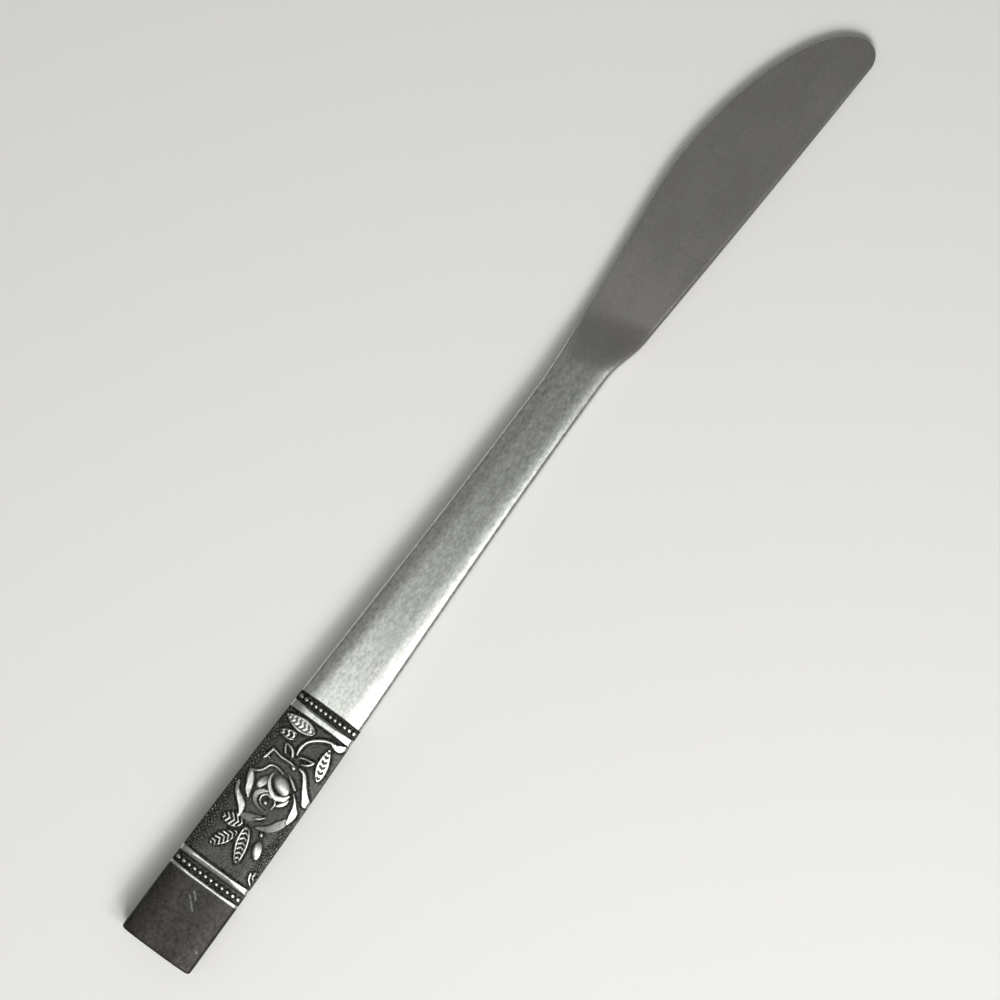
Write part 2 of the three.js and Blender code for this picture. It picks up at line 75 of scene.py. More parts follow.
# Blade outline and thickness
HEEL = HANDLE_LENGTH + 18.0
NECK_STRAIGHT = 6.0
HEEL_DROP = 6.75
HEEL_SWEEP = 5.3
SPINE_RISE = 8.86
SPINE_PEAK = OVERALL_LENGTH - 39.0
SPINE_SWEEP_OUT = 27.0
SPINE_SWEEP_RISE = 1.3
SPINE_SWEEP_IN = 11.0
SPINE_FALL_POWER = 1.7
TIP_DROP = 7.2
TIP_ROUND = 4.0
POINT = OVERALL_LENGTH + 0.05
EDGE_DROP = 10.3
EDGE_BELLY = 0.3
SPINE_THICKNESS = 2.3
SPINE_THICKNESS_AT_TIP = 1.3
GRIND_THICKNESS = 1.1
GRIND_THICKNESS_AT_TIP = 0.7
EDGE_BEVEL = 0.5
EDGE_THICKNESS = 0.35
SPINE_ROUND = 0.25
BLADE_DEPTH = 17.5
RAMP_START = 4.0
RAMP_LENGTH = 12.0
RAMP_SKEW = 4.0

# Bands of the struck ornament, in order from the butt
NEAR_CHANNEL = 15.9
BEAD_CHANNEL_WIDTH = 2.0
BAR_WIDTH = 1.6
NEAR_BAR = NEAR_CHANNEL + BEAD_CHANNEL_WIDTH
PANEL_START = NEAR_BAR + BAR_WIDTH
PANEL_END = PANEL_START + 32.4
FAR_CHANNEL = PANEL_END + BAR_WIDTH
FAR_CHANNEL_END = FAR_CHANNEL + BEAD_CHANNEL_WIDTH
SUNK_DEPTH = 0.45
SUNK_SPREAD = 0.4
BAND_ROLL = 0.35
BAR_ROLL = 0.2
NEAR_BAR_CREST = 0.72
NEAR_BAR_HOLLOWNESS = 3.0
FAR_BAR_CREST = 0.3
FAR_BAR_HOLLOWNESS = 1.0
BEAD_COUNT = 12
BEAD_RADIUS = 0.42
BEAD_SIDE_MARGIN = 0.75
HEART_X = PANEL_START + 15.0
HEART_Y = -0.25

# Forms of the relief; a pair is where an ease starts and ends
LIP_ROLL = 0.3
LIP_SPREAD = 0.22
LIP_CROWN = 0.12
DOME_POWER = 3
BEAD_POWER = 4
SIDE_FADE = 0.3
LEAF_SWELL = 0.9
OPEN_LEAF_SWELL = 1.15
LEAF_POINT = 0.02
LEAF_RIM_SPREAD = 0.15
OPEN_SIDE_SPREAD = 0.1
VEIN_SWEEP = 0.6
RAISED_VEIN = (0.2, 0.75)
CUT_VEIN = (0.55, 0.95)
ROSE_FIELD = 0.06
ROSE_FIELD_SPREAD = 0.25

# Matting of the struck ground, coarse in a patch by the cutting edge and along the spine
MATTING_SEED = 11
MATTING_WAVES = 14
MATTING_PITCH = (0.42, 0.75)
MATTING_LIMITS = (-1, 2)
FINE_MATTING = 0.02
COARSE_MATTING = 0.25
EDGE_PATCH_Y = (4.7, 6.0)
EDGE_PATCH_START = (-14, -13)
EDGE_PATCH_END = (-2, 0)
SPINE_PATCH_Y = (5.0, 6.2)
SPINE_PATCH_SHARE = 0.55

# Marks of the finish: black oxide in the hollows, painted shade that deepens the black in corners beside
# the relief, the dulled butt plate, and bright nicks in it
OPEN_BLACK = 0.9
BLACK_FADE = (0.1, 0.34)
CORNER_SHADE_REACH = 0.55
CORNER_SHADE_LOOKS = 6
CORNER_SHADE_DEPTH = 0.12
DULL_FADE = (NEAR_CHANNEL - 0.75, NEAR_CHANNEL - 0.45)
NICK_FADE = (0.02, 0.26)
NICK_SHINE = 0.28
NICKS = [
    [(10.3, -1.25), (11.5, 0.05)],
    [(11.9, 0.35), (12.3, 0.85)],
    [(12.4, -0.45), (13.4, 0.65)],
    [(4.3, -6.55), (4.6, -6.35)],
]
BRUSHED_END = HEEL - 4.0

# Fineness of the meshes, in mm, steps, rows or points
STRUCK_STEP = 0.095
FACE_STEPS = 142
ROUND_STEPS = 6
CORNER_STEPS = 8
BUTT_POINTS = 58
TAPER_POINTS = 36
HOLLOW_POINTS = 30
HOLLOW_ROWS = 8
PATH_STEPS = 28
CURVE_POINTS = 400
BLADE_ROWS = 64
CLOSE_ROWS = np.array([0, 0.04, 0.1, 0.18, 0.3, 0.4, EDGE_BEVEL - 0.02, EDGE_BEVEL + 0.02, 0.9, 1.4, 2.0])
CLOSE_SHARE = 0.45
RAMP_POINTS_END = HEEL + 6.0
RAMP_POINTS = 61
RISE_POINTS = 31
TIP_POINTS = 71
NOTCH_POINTS = 9
FLOOR_SIDES = 96
MERGE_DISTANCE = 0.0005
MIRROR_MERGE_DISTANCE = 0.001
SHELL_SMOOTHING = math.radians(60)
BLADE_SMOOTHING = math.radians(24)
FLOOR_SMOOTHING = math.radians(40)

# Petal lips as paths from the middle of the rose: x to the blade, y to the spine, and width, all in mm,
# after the heights of the crest at both ends and how steeply the top leans down to the cutting edge
PETAL_LIPS = [
    (0.43, 0.43, 0.1, [(-4.8, 2.65, 0.3), (-3.9, 2.85, 0.8), (-2.85, 3.4, 1.35), (-2.1, 4.35, 1.2),
                       (-1.4, 5.3, 0.95), (-0.7, 5.95, 0.6), (0.4, 6.35, 0.4)]),
    (0.16, 0.16, 0, [(-4.3, 2.1, 1.1), (-3.9, 1.0, 1.5), (-3.4, 0.1, 1.2), (-2.8, -0.8, 0.8)]),
    (0.36, 0.4, 0, [(-3.75, 0.15, 0.1), (-3.35, -0.5, 0.3), (-2.9, -1.1, 0.3), (-2.2, -1.7, 0.1)]),
    (0.16, 0.2, 0, [(-4.75, -1.3, 0.5), (-3.95, -2.9, 1.1), (-3.0, -3.9, 1.5), (-1.7, -4.7, 1.6),
                    (-0.5, -5.2, 1.0)]),
    (0.43, 0.36, 0, [(-0.8, -5.5, 0.5), (0.4, -5.55, 1.1), (1.5, -5.4, 1.35), (2.5, -4.85, 0.75),
                     (3.5, -4.2, 0.45), (4.4, -3.2, 0.2)]),
    (0.43, 0.36, 0, [(4.2, -6.2, 1.6), (5.4, -5.1, 1.15), (6.7, -4.1, 0.9), (7.9, -3.25, 0.8),
                     (8.6, -2.5, 0.65), (8.8, -1.5, 0.4)]),
    (0.34, 0.3, 0, [(8.6, -0.3, 0.35), (8.75, 0.7, 0.4), (8.7, 1.6, 0.4), (8.65, 2.8, 0.4),
                    (8.85, 3.85, 0.4), (9.0, 4.75, 0.35)]),
    (0.3, 0.36, 0, [(9.0, 4.7, 0.3), (8.1, 4.9, 0.3), (7.25, 5.1, 0.4), (6.6, 5.3, 0.2)]),
    (0.32, 0.28, 0, [(7.3, 5.0, 0.3), (7.25, 4.3, 0.15)]),
    (0.43, 0.43, 0.1, [(-0.9, 3.35, 0.4), (0.2, 4.1, 1.15), (1.2, 4.5, 1.25), (2.2, 5.0, 1.3),
                       (3.05, 5.5, 0.95), (3.4, 5.8, 0.4)]),
    (0.28, 0.32, 0, [(3.6, 5.8, 0.25), (3.9, 5.0, 0.3), (4.5, 4.3, 0.3), (5.3, 3.8, 0.3), (6.1, 3.5, 0.35),
                     (6.5, 2.9, 0.35), (6.6, 2.1, 0.35), (6.45, 1.15, 0.3), (6.3, 0.6, 0.2)]),
    (0.26, 0.42, 0, [(6.8, -0.35, 0.15), (6.45, -1.05, 0.3), (5.85, -2.0, 0.5), (5.2, -2.95, 0.5)]),
    (0.2, 0.43, 0, [(5.4, 2.1, 0.25), (4.35, 2.05, 0.5), (3.4, 1.6, 0.7), (2.6, 0.8, 0.85),
                    (2.0, -0.1, 0.95), (1.85, -0.95, 1.05), (2.15, -1.75, 1.0), (2.7, -2.45, 0.85),
                    (3.5, -2.85, 0.4)]),
    (0.42, 0.42, 0, [(0.7, -2.05, 0.4), (1.4, -2.6, 0.75), (2.1, -3.05, 0.65), (2.9, -3.25, 0.2)]),
    (0.12, 0.26, 0, [(-1.4, -0.9, 0.4), (-1.4, 0.6, 0.6), (-0.7, 2.0, 0.8), (0.6, 2.4, 1.0),
                     (1.6, 1.7, 0.8), (1.95, 1.0, 0.4)]),
    (0.18, 0.42, 0, [(-0.75, 0.1, 0.15), (-0.55, 0.75, 0.25), (-0.1, 1.2, 0.3), (0.6, 1.35, 0.35),
                     (1.2, 1.05, 0.4), (1.5, 0.4, 0.45), (1.35, -0.2, 0.3)]),
    (0.18, 0.42, 0, [(-0.5, -1.45, 0.15), (0.2, -1.6, 0.3), (0.8, -1.55, 0.4), (1.3, -1.2, 0.25)]),
    (0.3, 0.3, 0, [(-14.1, -6.8, 0.35), (-13.4, -6.0, 0.4), (-12.2, -5.6, 0.35)]),
    (0.36, 0.32, 0, [(-13.1, -6.75, 0.2), (-12.5, -6.3, 0.3), (-11.6, -6.35, 0.2)]),
    (0.42, 0.36, 0, [(9.8, 2.55, 0.4), (10.4, 3.0, 0.35), (11.2, 3.45, 0.2)]),
    (0.42, 0.36, 0, [(9.9, 1.05, 0.45), (10.65, 1.45, 0.55), (11.1, 2.1, 0.4), (11.35, 3.15, 0.25)]),
    (0.3, 0.42, 0, [(9.6, -1.1, 0.15), (10.05, -2.05, 0.3), (10.65, -2.65, 0.35), (11.2, -2.95, 0.35)]),
    (0.28, 0.42, 0, [(10.35, -0.05, 0.15), (10.8, -0.8, 0.3), (11.05, -1.85, 0.3), (11.15, -2.85, 0.4)]),
]

# Rounded petals, the eye, the bud and dots: place, half lengths, turn in degrees, height and its fall
PETAL_DOMES = [
    (0.0, 0.0, 0.46, 0.46, 0, 0.43, 0),
    (4.45, -0.45, 2.35, 1.45, 61, 0.43, 0.7),
    (3.0, 2.75, 1.7, 0.9, -14, 0.32, 0.6),
    (-8.0, -4.05, 2.0, 1.0, 22, 0.43, 0.55),
    (-5.3, -2.95, 0.5, 0.42, 30, 0.43, 0),
    (8.3, -0.4, 0.5, 0.5, 0, 0.43, 0),
]

# Outline of the whole rose, whose field stands a little above the ground
ROSE_OUTLINE = [
    (0.5, 6.4), (-2.6, 5.0), (-5.0, 2.6), (-5.0, -1.2), (-3.2, -4.6), (-0.8, -6.0),
    (3.6, -6.2), (7.2, -4.2), (9.0, -1.6), (9.1, 4.6), (6.4, 5.4), (3.3, 6.1),
]

# Leaves along their middle ribs: width, whether the right side is open with no lip, heights of the lip, the
# field and the veins, spacing of the veins, and how far across these reach as a share of half the width
LEAVES = [
    (2.5, True, 0.43, 0.06, 0.41, 0.78, 0.65, [(-7.1, 0.75), (-9.5, 2.4), (-12.2, 4.1)]),
    (2.9, True, 0.41, 0.06, 0.41, 0.78, 0.65, [(-5.45, 0.75), (-5.9, 2.8), (-6.5, 5.3)]),
    (2.6, False, 0.43, 0.1, 0.27, 0.85, 0.5, [(-5.3, 0.1), (-9.0, -1.05), (-12.7, -2.3)]),
    (2.9, False, 0.43, 0.36, 0.18, 0.85, 0.5, [(15.7, 0.0), (15.65, 3.2), (15.75, 6.5)]),
    (2.0, False, 0.42, 0.1, 0.36, 0.95, 0.55, [(13.45, 2.3), (12.9, 4.0), (12.5, 6.0)]),
    (2.3, False, 0.43, 0.43, 0.14, 0.95, 0.4, [(8.7, -5.5), (11.8, -4.55), (15.1, -3.9)]),
]

# Stem of the sprig and its thick foot, given as the petal lips are
STEMS = [
    (0.34, 0.43, 0, [(10.7, 0.55, 0.3), (11.8, 0.75, 0.5), (13.0, 0.6, 0.4), (13.8, 0.25, 0.4),
                     (14.6, -0.45, 0.45), (15.3, -1.35, 0.5), (15.9, -2.4, 0.5), (16.2, -3.6, 0.5)]),
    (0.43, 0.43, 0, [(16.15, -3.4, 0.4), (16.0, -4.6, 1.05), (16.25, -5.4, 1.3), (17.0, -6.3, 0.6)]),
]


# Straight and eased steps from one value to another
def mix(start, end, share):
    return start + (end - start) * share


def ease(value, start, end):
    share = np.clip((value - start) / (end - start), 0, 1)
    return share * share * (3 - 2 * share)


# How far a rounded corner is cut back at a distance from its end
def corner_cut(distance, radius):
    rest = np.maximum(radius - distance, 0)
    return radius - np.sqrt(radius**2 - rest**2)


def half_width(x):
    share = 0.5 * (1 + np.cos(np.pi * x / TAPER_LENGTH))
    return 0.5 * mix(NECK_WIDTH, BUTT_WIDTH, share) - corner_cut(x, BUTT_CORNER_RADIUS)


def half_thickness(x):
    return BUTT_THICKNESS / 2 - x * math.tan(FACE_SLOPE) - corner_cut(x, BUTT_EDGE_RADIUS)


def shoulder_width(x):
    return mix(SHOULDER_AT_BUTT, SHOULDER_AT_NECK, x / HANDLE_LENGTH)


# Height of the crowned face at a distance in from the side: a round, a sloping shoulder, a flat land
def crown_height(inwards, height, shoulder):
    fall = 0.5 * shoulder * math.tan(SHOULDER_SLOPE)
    round_width = EDGE_RADIUS * (1 - math.sin(SHOULDER_SLOPE))
    across = np.clip(EDGE_RADIUS - inwards, 0, EDGE_RADIUS)
    rounded = height - fall - EDGE_RADIUS * math.cos(SHOULDER_SLOPE) + np.sqrt(EDGE_RADIUS**2 - across**2)
    left = np.maximum(0, 1 - (inwards - round_width) / shoulder)
    return np.where(inwards < round_width, rounded, height - fall * left**2)


# A smooth curve through points, each with any further values it carries
def smooth_path(points, closed=False):
    points = np.array(points, float)
    count = len(points)
    turns = count if closed else count - 1
    steps = max(2, PATH_STEPS // turns)
    made = []
    for i in range(turns):
        around = np.arange(i - 1, i + 3)
        around = around % count if closed else np.clip(around, 0, count - 1)
        before, start, end, after = points[around]
        for share in np.arange(steps) / steps:
            bend = 2 * start + (end - before) * share
            bend = bend + (2 * before - 5 * start + 4 * end - after) * share**2
            bend = bend + (3 * start - before - 3 * end + after) * share**3
            made.append(bend / 2)
    made.append(points[0] if closed else points[-1])
    return np.array(made)


# For every place, the signed distance to a path, positive on its left, and the share along it
def along_path(x, y, path):
    nearest = np.full(x.shape, np.inf)
    side = np.ones(x.shape)
    share = np.zeros(x.shape)
    count = len(path) - 1
    for i in range(count):
        (ax, ay), (bx, by) = path[i, :2], path[i + 1, :2]
        run, rise = bx - ax, by - ay
        part = np.clip(((x - ax) * run + (y - ay) * rise) / (run * run + rise * rise), 0, 1)
        off_x, off_y = x - ax - part * run, y - ay - part * rise
        distance = off_x**2 + off_y**2
        closer = distance < nearest
        nearest = np.where(closer, distance, nearest)
        side = np.where(closer, np.where(run * off_y - rise * off_x < 0, -1.0, 1.0), side)
        share = np.where(closer, (i + part) / count, share)
    return np.sqrt(nearest) * side, share


def inside_outline(x, y, outline):
    inside = np.zeros(x.shape, bool)
    for (ax, ay), (bx, by) in zip(outline[:-1], outline[1:]):
        if ay == by:
            continue
        crosses = (ay > y) != (by > y)
        inside ^= crosses & (x < ax + (y - ay) * (bx - ax) / (by - ay))
    return inside


# A lip follows its path with a soft roll to both sides
def lip_height(x, y, first_crest, last_crest, lean, points):
    path = smooth_path(points)
    away, share = along_path(x, y, path)
    _, path_y, width = [np.interp(share, np.linspace(0, 1, len(path)), value) for value in path.T]
    reach = 0.5 * width + LIP_SPREAD
    across = np.abs(away) / reach
    top = mix(first_crest, last_crest, share) * (1 - LIP_CROWN * across**2)
    top = top - lean * (path_y + 0.5 * width - y)
    return top * ease(reach - np.abs(away), 0, LIP_ROLL)


def dome_height(x, y, dome):
    at_x, at_y, along, across, turn, crest, fall = dome
    turn = math.radians(turn)
    off_x, off_y = x - at_x, y - at_y
    u = (off_x * math.cos(turn) + off_y * math.sin(turn)) / along
    v = (off_y * math.cos(turn) - off_x * math.sin(turn)) / across
    top = crest * (1 - fall * 0.5 * (1 + np.clip(u, -1, 1)))
    return top * np.sqrt(np.clip(1 - np.hypot(u, v) ** DOME_POWER, 0, 1))


# A leaf has veins that sweep forward from its middle rib, raised or cut, and a lip round it
def leaf_height(x, y, leaf):
    width, open_side, lip, field, vein, spacing, reach, points = leaf
    path = smooth_path(points)
    length = np.sum(np.hypot(*np.diff(path, axis=0).T))
    away, share = along_path(x, y, path)
    swell = OPEN_LEAF_SWELL if open_side else LEAF_SWELL
    half = 0.5 * width * np.sin(np.pi * share**swell) + LEAF_POINT
    across = np.abs(away) / half
    turn = (share * length - VEIN_SWEEP * np.abs(away)) / spacing
    ribs = 0.5 + 0.5 * np.cos(2 * np.pi * turn)
    height = mix(field, vein, ease(ribs, *(RAISED_VEIN if vein > field else CUT_VEIN)))
    rim = ease(across, reach, reach + LEAF_RIM_SPREAD)
    if open_side:
        rim = rim * ease(away, -OPEN_SIDE_SPREAD, OPEN_SIDE_SPREAD)
    height = mix(height, lip, rim)
    return height * np.sqrt(np.clip((1 - across) / LEAF_RIM_SPREAD, 0, 1))


# Fine matting of the struck ground: waves in many directions
def matting(x, y):
    draw = np.random.default_rng(MATTING_SEED)
    total = np.zeros(x.shape)
    for _ in range(MATTING_WAVES):
        turn = draw.uniform(0, np.pi)
        wave = 2 * np.pi / draw.uniform(*MATTING_PITCH)
        total += np.cos(wave * (x * np.cos(turn) + y * np.sin(turn)) + draw.uniform(0, 2 * np.pi))
    return total / np.sqrt(MATTING_WAVES)


# Height of the rose sprig above the sunk ground, at places given from the middle of the rose
def sprig_height(x, y):
    coarse = ease(-y, *EDGE_PATCH_Y) * ease(x, *EDGE_PATCH_START) * (1 - ease(x, *EDGE_PATCH_END))
    coarse = coarse + SPINE_PATCH_SHARE * ease(y, *SPINE_PATCH_Y)
    height = mix(FINE_MATTING, COARSE_MATTING, coarse) * np.clip(matting(x, y), *MATTING_LIMITS)
    outline = smooth_path(ROSE_OUTLINE, closed=True)
    inside = inside_outline(x, y, outline)
    edge, _ = along_path(x, y, outline)
    height = np.where(inside, ROSE_FIELD * ease(np.abs(edge), 0, ROSE_FIELD_SPREAD), height)
    shapes = [lip_height(x, y, *lip) for lip in PETAL_LIPS + STEMS]
    shapes += [dome_height(x, y, dome) for dome in PETAL_DOMES]
    shapes += [leaf_height(x, y, leaf) for leaf in LEAVES]
    return np.maximum.reduce([height, *shapes])


def quarter_round(distance, width):
    return np.sqrt(np.clip(1 - (1 - np.clip(distance / width, 0, 1)) ** 2, 0, 1))


# A bar beside the panel: it swells from the bead row to a crest and rolls over into the panel
def bar_height(from_beads, crest, hollowness):
    share = from_beads / BAR_WIDTH
    swell = quarter_round(share, crest) ** hollowness
    roll = quarter_round(1 - share, BAR_ROLL)
    return np.where((share > 0) & (share < 1), SUNK_DEPTH * np.minimum(swell, roll), 0)


def bead_row_height(x, y, row_x):
    reach = half_width(row_x) - BEAD_SIDE_MARGIN
    pitch = 2 * reach / (BEAD_COUNT - 1)
    nearest = np.clip(np.round((y + reach) / pitch), 0, BEAD_COUNT - 1) * pitch - reach
    away = np.hypot(x - row_x, y - nearest) / BEAD_RADIUS
    return BEAD_RADIUS * np.sqrt(np.clip(1 - away**BEAD_POWER, 0, 1))


# Height above the sunk ground everywhere on the face; the plain face is a full depth above it
def struck_height(x, y):
    height = SUNK_DEPTH * quarter_round(NEAR_CHANNEL - x, BAND_ROLL)
    height = np.maximum(height, SUNK_DEPTH * quarter_round(x - FAR_CHANNEL_END, BAND_ROLL))
    height = np.maximum(height, bar_height(x - NEAR_BAR, NEAR_BAR_CREST, NEAR_BAR_HOLLOWNESS))
    height = np.maximum(height, bar_height(FAR_CHANNEL - x, FAR_BAR_CREST, FAR_BAR_HOLLOWNESS))
    middle = BEAD_CHANNEL_WIDTH / 2
    height = np.maximum(height, bead_row_height(x, y, NEAR_CHANNEL + middle))
    height = np.maximum(height, bead_row_height(x, y, FAR_CHANNEL + middle))
    panel = (x > PANEL_START) & (x < PANEL_END)
    inwards = half_width(x[panel]) - np.abs(y[panel])
    sprig = sprig_height(x[panel] - HEART_X, y[panel] - HEART_Y) * ease(inwards, 0, SIDE_FADE)
    height[panel] = np.maximum(height[panel], sprig)
    return height


def face_height(x, y):
    inwards = half_width(x) - np.abs(y)
    crown = crown_height(inwards, half_thickness(x), shoulder_width(x))
    ground = crown_height(inwards + SUNK_SPREAD, half_thickness(x) - SUNK_DEPTH, shoulder_width(x))
    return np.minimum(crown, ground + struck_height(x, y))


# Each operator below acts on what is selected, so a step starts with nothing selected
def deselect():
    bpy.ops.object.select_all(action="DESELECT")


def point_places(piece):
    points = np.empty(len(piece.data.vertices) * 3)
    piece.data.vertices.foreach_get("co", points)
    return points.reshape(-1, 3)


def keep_on_points(piece, name, value):
    layer = piece.data.attributes.new(name, "FLOAT", "POINT")
    layer.data.foreach_set("value", value.astype(np.float32))


# A grid whose columns and rows are carried to the places that a function gives, in mm
def shaped_grid(name, columns, rows, place):
    deselect()
    bpy.ops.mesh.primitive_grid_add(x_subdivisions=columns, y_subdivisions=rows, size=1)
    piece = bpy.context.object
    piece.name = piece.data.name = name
    points = point_places(piece)
    column = np.rint((points[:, 0] + 0.5) * columns).astype(int)
    row = np.rint((points[:, 1] + 0.5) * rows).astype(int)
    piece.data.vertices.foreach_set("co", (place(column, row) * MM).ravel())
    piece.data.update()
    return piece


# Walls from the open edge straight down to a level, and a flat floor across them
def wall_down(level, fill):
    bpy.ops.object.mode_set(mode="EDIT")
    bpy.ops.mesh.select_mode(type="EDGE")
    bpy.ops.mesh.select_all(action="SELECT")
    bpy.ops.mesh.region_to_loop()
    bpy.ops.mesh.extrude_edges_move()
    bpy.ops.transform.resize(value=(1, 1, 0), center_override=(0, 0, level * MM))
    if fill:
        bpy.ops.mesh.edge_face_add()
    bpy.ops.object.mode_set(mode="OBJECT")


def apply_modifier(piece, kind, **settings):
    modifier = piece.modifiers.new(kind, kind)
    for name, value in settings.items():
        setattr(modifier, name, value)
    bpy.context.view_layer.objects.active = piece
    bpy.ops.object.modifier_apply(modifier=modifier.name)


# Merges doubled points, turns all faces outwards and smooths the shading up to an angle
def tidy_mesh(piece, angle):
    deselect()
    piece.select_set(True)
    bpy.context.view_layer.objects.active = piece
    bpy.ops.object.mode_set(mode="EDIT")
    bpy.ops.mesh.select_all(action="SELECT")
    bpy.ops.mesh.remove_doubles(threshold=MERGE_DISTANCE * MM)
    bpy.ops.mesh.normals_make_consistent(inside=False)
    bpy.ops.object.mode_set(mode="OBJECT")
    bpy.ops.object.shade_smooth_by_angle(angle=angle)


# Where the knife's own axes lie in the frame: it rests on its rear face, so it leans by the face's slope
shell_low, shell_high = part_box("front_handle_shell")
KNIFE = Matrix.Translation((
    shell_low.x,
    (shell_low.y + shell_high.y) / 2,
    BUTT_THICKNESS / 2 * math.cos(FACE_SLOPE) * MM,
)) @ Matrix.Rotation(FACE_SLOPE, 4, "Y")


# Rows across the face: the round of each side in even turns, and even steps between them
def shell_place(column, row):
    x = shell_stations[column]
    width = half_width(x)
    turns = np.linspace(math.pi / 2, SHOULDER_SLOPE, ROUND_STEPS + 1)
    rounds = EDGE_RADIUS * (1 - np.sin(turns))
    last = FACE_STEPS + 2 * ROUND_STEPS
    from_side = np.minimum(row, last - row)
    side = np.where(row < last / 2, -1, 1)
    on_round = from_side < ROUND_STEPS
    inner = width - rounds[-1]
    even = inner * (2 * (row - ROUND_STEPS) / FACE_STEPS - 1)
    y = np.where(on_round, side * (width - rounds[np.minimum(from_side, ROUND_STEPS)]), even)
    return np.column_stack([x, y, face_height(x, y)])


# Front shell: one stamping, its ornament drawn up by the die with no undercuts, hollowed from below
struck_start = NEAR_CHANNEL - 2 * BAND_ROLL
struck_end = FAR_CHANNEL_END + 2 * BAND_ROLL
struck_steps = round((struck_end - struck_start) / STRUCK_STEP)
corner_turns = np.linspace(0, math.pi / 2, CORNER_STEPS + 1)
shell_stations = np.concatenate([
    BUTT_CORNER_RADIUS * (1 - np.cos(corner_turns))[:-1],
    np.linspace(BUTT_CORNER_RADIUS, struck_start, BUTT_POINTS)[:-1],
    np.linspace(struck_start, struck_end, struck_steps + 1),
    np.linspace(struck_end, HANDLE_LENGTH, TAPER_POINTS)[1:],
])
shell_rows = FACE_STEPS + 2 * ROUND_STEPS
front_shell = shaped_grid("struck_front_shell", len(shell_stations) - 1, shell_rows, shell_place)
wall_down(BRAZE_THICKNESS / 2, fill=True)

hollow_stations = np.linspace(WALL, HANDLE_LENGTH + OVERLAP, HOLLOW_POINTS)


def hollow_place(column, row):
    x = hollow_stations[column]
    y = (half_width(x) - WALL) * (2 * row / HOLLOW_ROWS - 1)
    crown = crown_height(half_width(x) - np.abs(y), half_thickness(x), shoulder_width(x))
    return np.column_stack([x, y, crown - WALL])


hollow = shaped_grid("shell_hollow", len(hollow_stations) - 1, HOLLOW_ROWS, hollow_place)
wall_down(-OVERLAP, fill=True)
for closed in (front_shell, hollow):
    tidy_mesh(closed, SHELL_SMOOTHING)
apply_modifier(front_shell, "BOOLEAN", object=hollow, operation="DIFFERENCE", solver="EXACT")
bpy.data.objects.remove(hollow)
tidy_mesh(front_shell, SHELL_SMOOTHING)


# How black the struck hollows stay, with painted shade deepening the black in corners beside the relief,
# and how dull the butt plate is, kept on the points
def mark_finish(piece):
    x, y, _ = point_places(piece).T / MM
    raised = struck_height(x, y)
    around = [
        struck_height(x + CORNER_SHADE_REACH * math.cos(turn), y + CORNER_SHADE_REACH * math.sin(turn))
        for turn in np.linspace(0, 2 * math.pi, CORNER_SHADE_LOOKS + 1)[:-1]
    ]
    on_face = ease(half_width(x) - np.abs(y), 0, SIDE_FADE)
    # Painted shade: the black goes to full where the relief around stands higher, in corners and beside
    # lips and bars
    corner_shade = ease(np.mean(around, axis=0) - raised, 0, CORNER_SHADE_DEPTH) * on_face
    nicked = np.zeros(x.shape)
    for nick in NICKS:
        away, _ = along_path(x, y, np.array(nick))
        nicked = np.maximum(nicked, 1 - ease(np.abs(away), *NICK_FADE))
    keep_on_points(piece, "oxide_and_painted_shade", mix(OPEN_BLACK, 1, corner_shade) * (1 - ease(raised, *BLACK_FADE)))
    keep_on_points(piece, "dulled", (1 - ease(x, *DULL_FADE)) * (1 - NICK_SHINE * nicked))


mark_finish(front_shell)

# Rear shell: the same stamping turned over about the handle's axis
deselect()
front_shell.select_set(True)
bpy.context.view_layer.objects.active = front_shell
bpy.ops.object.duplicate()
rear_shell = bpy.context.object
rear_shell.name = rear_shell.data.name = "struck_rear_shell"
bpy.ops.object.mode_set(mode="EDIT")
bpy.ops.mesh.select_all(action="SELECT")
bpy.ops.transform.rotate(value=math.pi, orient_axis="X", center_override=(0, 0, 0))
bpy.ops.object.mode_set(mode="OBJECT")


# Height at x of a curve drawn by its control points
def bezier(points, x):
    share = np.linspace(0, 1, CURVE_POINTS)
    points = np.array(points, float)
    while len(points) > 1:
        if points.ndim == 2:
            points = points[:, :, None] * np.ones_like(share)
        points = points[:-1] + (points[1:] - points[:-1]) * share
    return np.interp(x, points[0][0], points[0][1])


neck_half = float(half_width(np.array(HANDLE_LENGTH)))


# Height of the spine over the axis
def spine_height(x):
    rise = bezier([
        (HANDLE_LENGTH, neck_half),
        (HANDLE_LENGTH + SPINE_SWEEP_OUT, neck_half + SPINE_SWEEP_RISE),
        (SPINE_PEAK - SPINE_SWEEP_IN, SPINE_RISE),
        (SPINE_PEAK, SPINE_RISE),
    ], x)
    share = np.clip((x - SPINE_PEAK) / (POINT - SPINE_PEAK), 0, 1)
    fall = mix(-TIP_DROP, SPINE_RISE, np.sqrt(1 - share**SPINE_FALL_POWER))
    return np.where(x < SPINE_PEAK, rise, fall)


# The cutting edge, and the line it would follow without the round at the tip
def edge_height(x, rounded=True):
    heel = bezier([
        (HANDLE_LENGTH + NECK_STRAIGHT, -neck_half),
        (HANDLE_LENGTH + NECK_STRAIGHT + HEEL_SWEEP, -neck_half),
        (HEEL - HEEL_SWEEP, -HEEL_DROP),
        (HEEL, -HEEL_DROP),
    ], x)
    edge = bezier([
        (HEEL, -HEEL_DROP),
        ((HEEL + POINT - TIP_ROUND) / 2, -(HEEL_DROP + EDGE_DROP) / 2 - EDGE_BELLY),
        (POINT - TIP_ROUND, -EDGE_DROP),
    ], x)
    share = np.clip((x - POINT + TIP_ROUND) / TIP_ROUND, 0, 1)
    tip = mix(-TIP_DROP, -EDGE_DROP, np.sqrt(1 - share**2))
    height = np.where(x < HEEL, heel, edge)
    return np.where(x > POINT - TIP_ROUND, tip, height) if rounded else height


